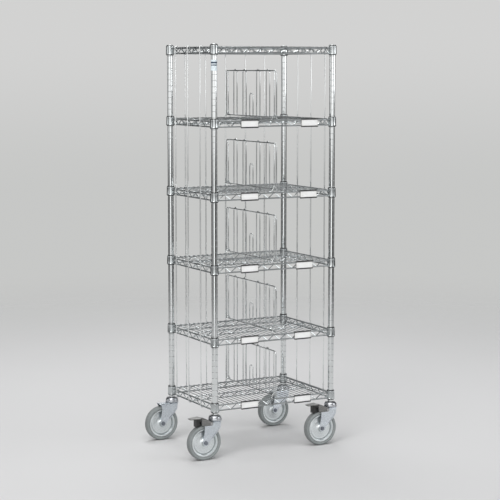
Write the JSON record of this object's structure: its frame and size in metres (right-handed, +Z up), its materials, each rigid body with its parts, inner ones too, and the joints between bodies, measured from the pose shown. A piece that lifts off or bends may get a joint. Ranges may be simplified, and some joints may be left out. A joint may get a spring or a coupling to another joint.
{
  "type": "wire shelf cart",
  "caption": "Tall chrome wire shelving cart with tubular posts, rod-closed sides and back, wire dividers, label holders and swivel casters with foot brakes.",
  "frame": {"origin": "on the floor under the middle of the footprint's box, with all casters trailing towards -X", "axes": "+X to the right along the open long front, +Y from the front to the rod-closed back, +Z up"},
  "size_m": [0.7264, 0.475, 1.74],
  "materials": {
    "post_chrome": "bright plated tube",
    "cap_chrome": "bright plated cap",
    "shelf_chrome": "bright plated wire",
    "rod_chrome": "bright plated wire",
    "divider_chrome": "bright plated wire",
    "sleeve_plastic": "black moulded",
    "holder_plastic": "dark moulded channel",
    "label_card": "white card, blank",
    "sticker_film": "printed film, blank bands",
    "bush_plastic": "black moulded",
    "stem_steel": "zinc plated",
    "dome_zinc": "bright zinc plated",
    "bearing_steel": "polished",
    "fork_zinc": "bluish zinc plated",
    "wheel_zinc": "zinc plated pressing",
    "grey_tyre": "grey rubber",
    "pedal_paint": "grey"
  },
  "bodies": {
    "root": {"post_front_left": "post_chrome", "post_front_right": "post_chrome", "post_back_left": "post_chrome", "post_back_right": "post_chrome", "post_caps": "cap_chrome", "shelf_1": "shelf_chrome", "shelf_2": "shelf_chrome", "shelf_3": "shelf_chrome", "shelf_4": "shelf_chrome", "shelf_5": "shelf_chrome", "shelf_6": "shelf_chrome", "split_sleeves": "sleeve_plastic", "left_rods": "rod_chrome", "right_rods": "rod_chrome", "back_rods": "rod_chrome", "rod_clips": "rod_chrome", "divider_2": "divider_chrome", "divider_3": "divider_chrome", "divider_4": "divider_chrome", "divider_5": "divider_chrome", "divider_6": "divider_chrome", "label_holders": "holder_plastic", "label_cards": "label_card", "post_sticker": "sticker_film", "stem_sockets": "bush_plastic", "caster_stems": "stem_steel", "swivel_dome_front_left": "dome_zinc", "swivel_dome_front_right": "dome_zinc", "swivel_dome_back_left": "dome_zinc", "swivel_dome_back_right": "dome_zinc"},
    "caster_front_left": {"fork_front_left": "fork_zinc", "swivel_balls_front_left": "bearing_steel", "axle_bolt_front_left": "stem_steel", "pedal_pin_front_left": "stem_steel"},
    "wheel_front_left": {"wheel_core_front_left": "wheel_zinc", "tyre_front_left": "grey_tyre", "wheel_bushes_front_left": "bush_plastic"},
    "caster_front_right": {"fork_front_right": "fork_zinc", "swivel_balls_front_right": "bearing_steel", "axle_bolt_front_right": "stem_steel", "pedal_pin_front_right": "stem_steel"},
    "wheel_front_right": {"wheel_core_front_right": "wheel_zinc", "tyre_front_right": "grey_tyre", "wheel_bushes_front_right": "bush_plastic"},
    "caster_back_left": {"fork_back_left": "fork_zinc", "swivel_balls_back_left": "bearing_steel", "axle_bolt_back_left": "stem_steel"},
    "wheel_back_left": {"wheel_core_back_left": "wheel_zinc", "tyre_back_left": "grey_tyre", "wheel_bushes_back_left": "bush_plastic"},
    "caster_back_right": {"fork_back_right": "fork_zinc", "swivel_balls_back_right": "bearing_steel", "axle_bolt_back_right": "stem_steel"},
    "wheel_back_right": {"wheel_core_back_right": "wheel_zinc", "tyre_back_right": "grey_tyre", "wheel_bushes_back_right": "bush_plastic"},
    "pedal_front_left": {"brake_pedal_front_left": "pedal_paint"},
    "pedal_front_right": {"brake_pedal_front_right": "pedal_paint"}
  },
  "joints": [
    {"name": "swivel_front_left", "type": "hinge", "parent": "root", "child": "caster_front_left", "pos_m": [-0.23525, -0.209, 0.165], "axis": [0, 0, 1], "continuous": true},
    {"name": "spin_front_left", "type": "hinge", "parent": "caster_front_left", "child": "wheel_front_left", "pos_m": [-0.28825, -0.209, 0.075], "axis": [0, 1, 0], "continuous": true},
    {"name": "swivel_front_right", "type": "hinge", "parent": "root", "child": "caster_front_right", "pos_m": [0.33475, -0.209, 0.165], "axis": [0, 0, 1], "continuous": true},
    {"name": "spin_front_right", "type": "hinge", "parent": "caster_front_right", "child": "wheel_front_right", "pos_m": [0.28175, -0.209, 0.075], "axis": [0, 1, 0], "continuous": true},
    {"name": "swivel_back_left", "type": "hinge", "parent": "root", "child": "caster_back_left", "pos_m": [-0.23525, 0.209, 0.165], "axis": [0, 0, 1], "continuous": true},
    {"name": "spin_back_left", "type": "hinge", "parent": "caster_back_left", "child": "wheel_back_left", "pos_m": [-0.28825, 0.209, 0.075], "axis": [0, 1, 0], "continuous": true},
    {"name": "swivel_back_right", "type": "hinge", "parent": "root", "child": "caster_back_right", "pos_m": [0.33475, 0.209, 0.165], "axis": [0, 0, 1], "continuous": true},
    {"name": "spin_back_right", "type": "hinge", "parent": "caster_back_right", "child": "wheel_back_right", "pos_m": [0.28175, 0.209, 0.075], "axis": [0, 1, 0], "continuous": true},
    {"name": "brake_front_left", "type": "hinge", "parent": "caster_front_left", "child": "pedal_front_left", "pos_m": [-0.26325, -0.209, 0.1565], "axis": [0, -1, 0], "range_deg": [0, 4]},
    {"name": "brake_front_right", "type": "hinge", "parent": "caster_front_right", "child": "pedal_front_right", "pos_m": [0.30675, -0.209, 0.1565], "axis": [0, -1, 0], "range_deg": [0, 4]}
  ]
}
